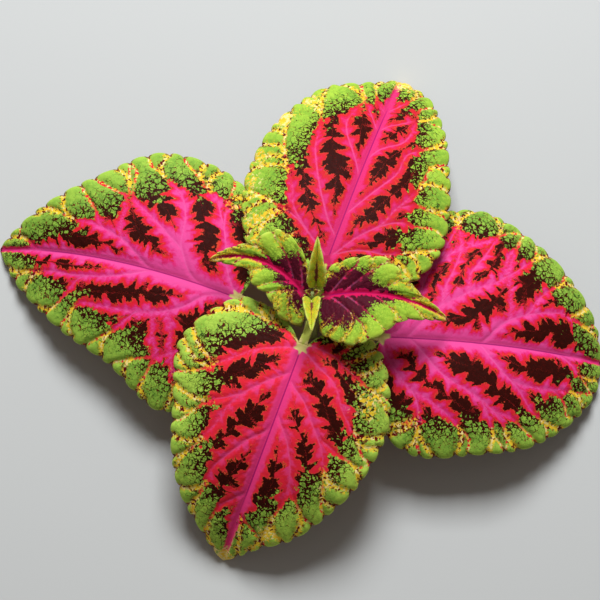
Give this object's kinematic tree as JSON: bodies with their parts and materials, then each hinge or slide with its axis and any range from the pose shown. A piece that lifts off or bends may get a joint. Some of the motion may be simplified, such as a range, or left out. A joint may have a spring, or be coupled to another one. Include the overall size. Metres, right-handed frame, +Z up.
{
  "type": "coleus shoot tip",
  "caption": "Cut tip of a coleus shoot, face up: crossed pairs of broad scalloped leaves on stalks round a short square stem, resting on its drooping leaf tips.",
  "frame": {"origin": "centre of the bounding box's bottom face, on the surface that the leaf tips rest on", "axes": "+Z up out of the growing point, +X towards the tip of the right leaf of the lowest pair, -Y towards the front leaf"},
  "size_m": [0.2474, 0.2012, 0.0657],
  "materials": {
    "stem": "pale green, faintly ribbed and downy plant stem",
    "large_leaf": "soft satin leaf, hot pink veins, coral red fringes, near-black maroon patches and a green rim with cream veinlets",
    "small_leaf": "soft satin young leaf, yellow-green with a muted maroon middle and a crimson midrib"
  },
  "bodies": {
    "root": {"stem": "stem", "leaf_left": "large_leaf", "leaf_right": "large_leaf", "leaf_back": "large_leaf", "leaf_front": "large_leaf", "leaf_small_left": "small_leaf", "leaf_small_right": "small_leaf", "leaf_tip_back": "small_leaf", "leaf_tip_front": "small_leaf", "bud_leaf_left": "small_leaf", "bud_leaf_right": "small_leaf"}
  },
  "joints": []
}
